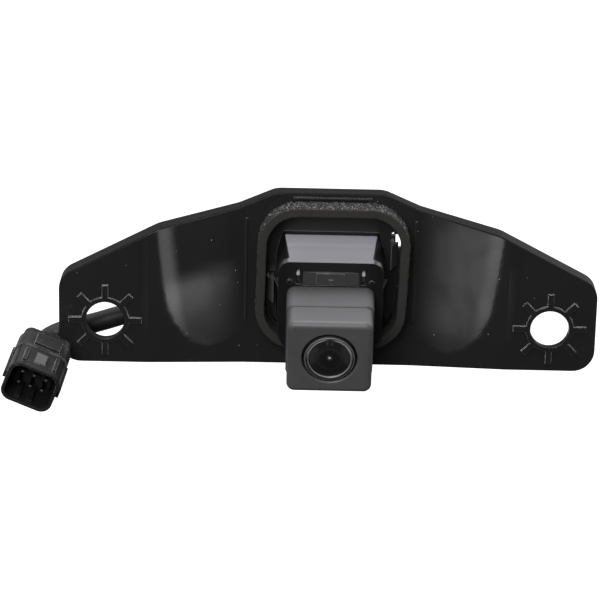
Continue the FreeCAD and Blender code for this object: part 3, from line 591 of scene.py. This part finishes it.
for look, piece_names in PAINTED:
    for piece_name in piece_names.split():
        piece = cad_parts[piece_name]
        if not piece.material_slots:
            piece.data.materials.append(look.mat)
        for slot in piece.material_slots:
            slot.material = look.mat


# ------------------------------------------------------------------
# Mesh helpers
# ------------------------------------------------------------------
def new_mesh(name, verts, faces, look, smooth=True):
    mesh = bpy.data.meshes.new(name)
    mesh.from_pydata(verts, [], faces)
    mesh.update()
    obj = bpy.data.objects.new(name, mesh)
    bpy.context.scene.collection.objects.link(obj)
    mesh.materials.append(look.mat)
    if smooth:
        for polygon in mesh.polygons:
            polygon.use_smooth = True
    return obj


def fillet(before, corner, after, radius):
    """Centre, start and end of the arc that rounds a corner, and the corner's angle."""
    to_before = (before - corner).normalized()
    to_after = (after - corner).normalized()
    angle = math.acos(max(-1, min(1, to_before.dot(to_after))))
    tangent = radius / math.tan(angle / 2)
    bisector = (to_before + to_after).normalized()
    centre = corner + bisector * (radius / math.sin(angle / 2))
    return centre, corner + to_before * tangent, corner + to_after * tangent, angle


# ------------------------------------------------------------------
# Foam gasket: a ring of open-cell foam, skinned on its cut front face
# ------------------------------------------------------------------
def rounded_loop(corners, radius, step):
    """Evenly spaced (point, outward normal) pairs along a rounded polygon in x and z."""
    arc_steps = 24
    corners = [Vector(corner) for corner in corners]
    dense = []
    for i, corner in enumerate(corners):
        after = corners[(i + 1) % len(corners)]
        centre, start, end, _ = fillet(corners[i - 1], corner, after, radius)
        first = math.atan2(start.y - centre.y, start.x - centre.x)
        last = math.atan2(end.y - centre.y, end.x - centre.x)
        while last - first > math.pi:
            last -= 2 * math.pi
        while last - first < -math.pi:
            last += 2 * math.pi
        for j in range(arc_steps + 1):
            turn = first + (last - first) * j / arc_steps
            dense.append(Vector((centre.x + radius * math.cos(turn),
                                 centre.y + radius * math.sin(turn))))

    # resample evenly
    following = dense[1:] + dense[:1]
    lengths = [(b - a).length for a, b in zip(dense, following)]
    total = sum(lengths)
    count = int(total / step)
    even = []
    i, passed = 0, 0.0
    for k in range(count):
        distance = total * k / count
        while passed + lengths[i] < distance:
            passed += lengths[i]
            i += 1
        fraction = (distance - passed) / max(lengths[i], 1e-9)
        even.append(dense[i].lerp(following[i], fraction))

    pairs = []
    for k in range(count):
        tangent = even[(k + 1) % count] - even[k - 1]
        tangent.normalize()
        pairs.append((even[k], Vector((tangent.y, -tangent.x))))
    return pairs


def foam_profile():
    """Section stations: (inset from the outer side, y, skin, unevenness)."""
    outer, inner = FOAM_OUTER_ROUND, FOAM_INNER_ROUND
    round_start_y = FOAM_FRONT_Y + outer
    round_end_y = FOAM_FRONT_Y + inner
    profile = []
    for j in range(FOAM_SIDE_ROWS + 1):  # outer side, back to front
        y = FOAM_BACK_Y + (round_start_y - FOAM_BACK_Y) * (j / FOAM_SIDE_ROWS)
        profile.append((0.0, y, 0.0, 1.0))
    for j in range(1, 4):  # outer front edge
        turn = math.pi / 2 * j / 4
        profile.append((outer - outer * math.cos(turn), round_start_y - outer * math.sin(turn),
                        0.35 + 0.15 * j, 0.6 - 0.15 * j))
    for j in range(9):  # front face
        profile.append((outer + (FOAM_BAND - (outer + inner)) * j / 8, FOAM_FRONT_Y, 1.0, 0.08))
    for j in range(1, 4):  # inner front edge
        turn = math.pi / 2 * j / 4
        profile.append((FOAM_BAND - inner + inner * math.sin(turn),
                        round_end_y - inner * math.cos(turn), 1.0 - 0.1 * j, 0.12))
    for j in range(13):  # inner side, front to back
        y = round_end_y + (FOAM_BACK_Y - FOAM_FRONT_Y - inner) * j / 12
        profile.append((FOAM_BAND, y, 0.55, 0.35))
    for j in range(1, 6):  # back face
        profile.append((FOAM_BAND * (1 - j / 6.0), FOAM_BACK_Y, 0.3, 0.0))
    return profile


def build_foam():
    loop = rounded_loop(FOAM_CORNERS, FOAM_CORNER_RADIUS, FOAM_STEP)
    profile = foam_profile()
    verts, faces, skins = [], [], []
    for point, normal in loop:
        wander = 0.16 * noise.noise(Vector((point.x * 0.11, point.y * 0.11, 3.1)))
        for inset, y, skin, uneven in profile:
            x = point.x - normal.x * (inset + wander)
            z = point.y - normal.y * (inset + wander)
            vert = Vector((x, y, z))
            # the way the surface faces, for pushing cells in and out
            if skin == 0.0:
                facing = Vector((normal.x, 0, normal.y))
            elif inset >= FOAM_BAND - 1e-6:
                facing = Vector((-normal.x, 0, -normal.y))
            else:
                facing = Vector((0, -1, 0))
            coarse = noise.noise(vert * 1.9)
            fine = noise.noise(vert * 4.3 + Vector((7, 1, 3)))
            push = uneven * (0.34 * coarse + 0.30 * fine) - uneven * 0.10
            verts.append((vert + facing * push) * MM)
            skins.append(skin)
    rows = len(profile)
    for k in range(len(loop)):
        here, there = k * rows, ((k + 1) % len(loop)) * rows
        for j in range(rows):
            beside = (j + 1) % rows
            faces.append((here + j, here + beside, there + beside, there + j))
    foam = new_mesh("foam_ring", verts, faces, foam_open_cell())
    foam.data.attributes.new("skin", "FLOAT", "POINT").data.foreach_set("value", skins)
    return foam


foam = build_foam()
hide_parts("foam_gasket")
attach(foam, "camera_unit")


# ------------------------------------------------------------------
# Cable: one continuous jacket from the grommet to the plug
# ------------------------------------------------------------------
def rounded_path(points, radii, step):
    """An open line through points, rounded at the inner ones and divided by step."""
    points = [Vector(point) for point in points]
    bent = [points[0]]
    for before, corner, after, radius in zip(points, points[1:], points[2:], radii):
        centre, start, end, angle = fillet(before, corner, after, radius)
        count = max(3, int(radius * (math.pi - angle) / step))
        first, last = (start - centre).normalized(), (end - centre).normalized()
        sweep = math.acos(max(-1, min(1, first.dot(last))))
        for j in range(count + 1):
            f = j / count
            spoke = first * math.sin((1 - f) * sweep) + last * math.sin(f * sweep)
            bent.append(centre + spoke / math.sin(sweep) * radius)
    bent.append(points[-1])
    path = [bent[0]]
    for start, end in zip(bent[:-1], bent[1:]):
        count = max(1, int((end - start).length / step))
        for j in range(1, count + 1):
            path.append(start.lerp(end, j / count))
    return path


def tube(name, path, radius, look, sides, wobble):
    """Slightly uneven round jacket along path (mm), with short rims closing in at the ends."""
    rim_inner = 0.76  # inner radius of a rim, as a share of the outer
    verts, faces = [], []
    previous = (path[1] - path[0]).normalized()
    across = previous.orthogonal().normalized()
    last = len(path) - 1
    for i, point in enumerate(path):
        tangent = (path[min(i + 1, last)] - path[max(i - 1, 0)]).normalized()
        across = previous.rotation_difference(tangent) @ across
        previous = tangent
        side = tangent.cross(across)
        for j in range(sides):
            turn = 2 * math.pi * j / sides
            spoke = across * math.cos(turn) + side * math.sin(turn)
            on_round = point + spoke * radius
            uneven = (radius + wobble * noise.noise(on_round * 0.35)
                      + wobble * 0.35 * noise.noise(on_round * 1.4))
            verts.append((point + spoke * uneven) * MM)
    for i in range(last):
        for j in range(sides):
            a, b = i * sides + j, i * sides + (j + 1) % sides
            faces.append((a, b, b + sides, a + sides))
    for i in (0, last):
        base = len(verts)
        for j in range(sides):
            outer = Vector(verts[i * sides + j]) / MM
            verts.append((path[i] + (outer - path[i]) * rim_inner) * MM)
        for j in range(sides):
            a, b = i * sides + j, i * sides + (j + 1) % sides
            c, d = base + (j + 1) % sides, base + j
            faces.append((b, a, d, c) if i == 0 else (a, b, c, d))
    return new_mesh(name, verts, faces, look)


cable_path = rounded_path(CABLE_UNIT_END + CABLE_PLUG_END, CABLE_BENDS, CABLE_STEP)
cable = tube("cable_sleeve", cable_path, CABLE_RADIUS, cable_jacket_black(),
             sides=40, wobble=0.04)
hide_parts("cable_jacket", "cable_tail_jacket")
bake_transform(cable)


# ------------------------------------------------------------------
# Floor
# ------------------------------------------------------------------
def build_floor(z, half_size):
    """Pale, partly glowing floor that only the camera sees."""
    look = Look("floor_pale")
    diffuse = look.make("ShaderNodeBsdfDiffuse", {0: grey(0.16)})
    glow = look.make("ShaderNodeEmission", {"Color": grey(1.0), "Strength": 0.95})
    look.surface(look.make("ShaderNodeAddShader", {0: diffuse, 1: glow}))
    corners = ((-1, -1), (1, -1), (1, 1), (-1, 1))
    verts = [(x * half_size, y * half_size, z) for x, y in corners]
    floor = new_mesh("floor", verts, [(0, 1, 2, 3)], look, smooth=False)
    floor.visible_glossy = False
    floor.visible_diffuse = False
    floor.visible_transmission = False


build_floor(z=-0.052, half_size=12.0)


# ------------------------------------------------------------------
# World: white to the camera, soft boxes to everything else
# ------------------------------------------------------------------
def build_world():
    world = bpy.data.worlds.new("studio")
    bpy.context.scene.world = world
    world.use_nodes = True
    sky = Tree(world.node_tree)
    x, y, z = sky.xyz(sky.make("ShaderNodeTexCoord", out="Generated"))
    # overhead box, weaker towards the front
    top = z.ramp(over=(0.42, 0.49)) * y.ramp(over=(-0.70, 0.25), to=(0.22, 1.0)) * 2.5
    sides = (sky.math("ABSOLUTE", x, 0.0).ramp(over=(0.80, 0.95))
             * z.ramp(over=(-0.15, 0.2), to=(0.0, 0.4)))
    low_back = y.ramp(over=(0.30, 0.75)) * z.ramp(over=(0.25, -0.10), to=(0.0, 0.55))
    front = y.ramp(over=(-0.35, -0.95)) * z.ramp(over=(0.0, 0.25), to=(0.0, 0.55))
    ambient = 0.04
    strength = (top + sides) + (front + low_back + ambient)
    boxes = sky.make("ShaderNodeBackground", {"Color": (0.97, 0.98, 1.0), "Strength": strength})
    white = sky.make("ShaderNodeBackground", {"Color": grey(1.0)})
    seen = sky.make("ShaderNodeLightPath", out="Is Camera Ray")
    mixed = sky.make("ShaderNodeMixShader", {0: seen, 1: boxes, 2: white})
    sky.node("ShaderNodeOutputWorld", {0: mixed})


build_world()

# ------------------------------------------------------------------
# Reflector cards, far in front of and below the object
# ------------------------------------------------------------------
CARD_Y, CARD_TOP, CARD_BOTTOM = -2400.0, -600.0, -872.0  # millimetres
CARD_ROWS = 40
CARD_LEAN, CARD_CURVE = 0.04, 0.20  # drift of the outer edge down the card, in card widths
CARD_ROUND_FROM = 0.74  # how far down the bottom starts to close


def card_light(look, x0, x1, flip, base, lobe_top, body_gain, low_gain, high_gain):
    """Glow of a card: a swirling body brightened below lobe_top, with two edge bands."""
    x, y, z = look.xyz(look.place)
    u = x.ramp(over=(x0 * MM, x1 * MM), smooth=False)
    v = z.ramp(over=(CARD_BOTTOM * MM, CARD_TOP * MM), smooth=False)
    down = 1.0 - v
    drift = down * CARD_LEAN + down * down * CARD_CURVE
    leaned = u + drift if flip else u - drift
    low_edge = leaned.ramp(over=(0.20, 0.08)) * low_gain
    high_edge = leaned.ramp(over=(0.80, 0.93)) * high_gain
    lobe = (v + u * -0.12).ramp(over=(lobe_top, lobe_top - 0.12))
    swirl = look.noise(scale=15.0, detail=3.0, rough=0.5, distort=0.6,
                       vec=look.stretched(1.0, 1.0, 0.7))
    swirl = swirl.ramp(over=(0.35, 0.75), to=(0.55, 1.35))
    body = (lobe * (1.0 - base) + base) * swirl * body_gain
    fade = u.ramp(over=(0.0, 0.50) if flip else (1.0, 0.55))
    bottom_fade = v.ramp(over=(0.0, 0.25), to=(0.35, 1.0))
    return (body + (low_edge + high_edge)) * (fade * bottom_fade)


def card(name, x0, x1, flip, **light):
    """A pale reflector from x0 to x1 (mm), seen only in glossy surfaces."""
    verts, faces = [], []
    for i in range(CARD_ROWS + 1):
        t = i / CARD_ROWS
        outer = CARD_LEAN * t + CARD_CURVE * t * t
        inner = 0.0
        if t > CARD_ROUND_FROM:
            closing = ((t - CARD_ROUND_FROM) / 0.26) ** 2.4
            closing = 1.0 - math.sqrt(max(0.0, 1.0 - closing))
            outer += (0.62 - outer) * closing
            inner = 0.38 * closing
        z = CARD_TOP + (CARD_BOTTOM - CARD_TOP) * t
        for share in (inner, 1.0 - outer) if flip else (outer, 1.0 - inner):
            verts.append(((x0 + (x1 - x0) * share) * MM, CARD_Y * MM, z * MM))
    for i in range(CARD_ROWS):
        faces.append((2 * i, 2 * i + 1, 2 * i + 3, 2 * i + 2))
    look = Look(name)
    strength = card_light(look, x0, x1, flip, **light)
    look.surface(look.make("ShaderNodeEmission", {"Strength": strength}))
    obj = new_mesh(name, verts, faces, look, smooth=False)
    obj.visible_camera = False
    obj.visible_diffuse = False
    obj.visible_shadow = False


card("card_left", x0=148.0, x1=264.0, flip=False, base=0.05, lobe_top=0.34,
     body_gain=1.8, low_gain=2.0, high_gain=0.5)
card("card_right", x0=-209.0, x1=-92.0, flip=True, base=0.62, lobe_top=0.6,
     body_gain=1.5, low_gain=0.0, high_gain=1.1)

# ------------------------------------------------------------------
# Lights
# ------------------------------------------------------------------
# Square area lights: name, place, target, side (m), power (W)
LIGHTS = (
    ("key_top", (-0.05, 0.02, 0.75), (0, -0.01, 0), 0.5, 5.0),
    ("fill_back_a", (1.0, 1.0, 0.5), (0, 0, 0), 0.5, 12.0),
    ("fill_back_b", (-1.0, 0.9, 0.25), (0, 0, 0), 0.4, 5.0),
    ("fill_front", (-0.25, -1.1, 0.55), (0, 0, 0), 0.5, 16.0),
)
for name, place, target, side, power in LIGHTS:
    light = bpy.data.lights.new(name, "AREA")
    light.shape = "RECTANGLE"
    light.size = side
    light.size_y = side
    light.energy = power
    lamp = bpy.data.objects.new(name, light)
    bpy.context.scene.collection.objects.link(lamp)
    lamp.location = place
    lamp.rotation_mode = "QUATERNION"
    lamp.rotation_quaternion = (Vector(target) - Vector(place)).to_track_quat("-Z", "Y")

# ------------------------------------------------------------------
# Camera: in front, looking along +y and slightly down
# ------------------------------------------------------------------
VIEW_DOWN = math.radians(18.7)
VIEW_ROLL = math.radians(1.2)
VIEW_DISTANCE = 0.80
VIEW_TARGET = Vector((-8.3, 0.0, 7.5)) * MM

forward = Vector((0, math.cos(VIEW_DOWN), -math.sin(VIEW_DOWN)))
level_right = Vector((1, 0, 0))
level_up = Vector((0, math.sin(VIEW_DOWN), math.cos(VIEW_DOWN)))
right = level_right * math.cos(VIEW_ROLL) + level_up * math.sin(VIEW_ROLL)
up = level_up * math.cos(VIEW_ROLL) - level_right * math.sin(VIEW_ROLL)
lens = bpy.data.cameras.new("photo_camera")
lens.sensor_fit = "HORIZONTAL"
lens.sensor_width = 36.0
lens.lens = 161.64
lens.clip_start = 0.05
lens.clip_end = 60.0
camera = bpy.data.objects.new("photo_camera", lens)
bpy.context.scene.collection.objects.link(camera)
turned = Matrix((right, up, -forward)).transposed().to_4x4()
camera.matrix_world = Matrix.Translation(VIEW_TARGET - forward * VIEW_DISTANCE) @ turned
bpy.context.scene.camera = camera

view = bpy.context.scene.view_settings
view.view_transform = "Standard"
view.look = "None"
view.exposure = 0.0
view.gamma = 1.0
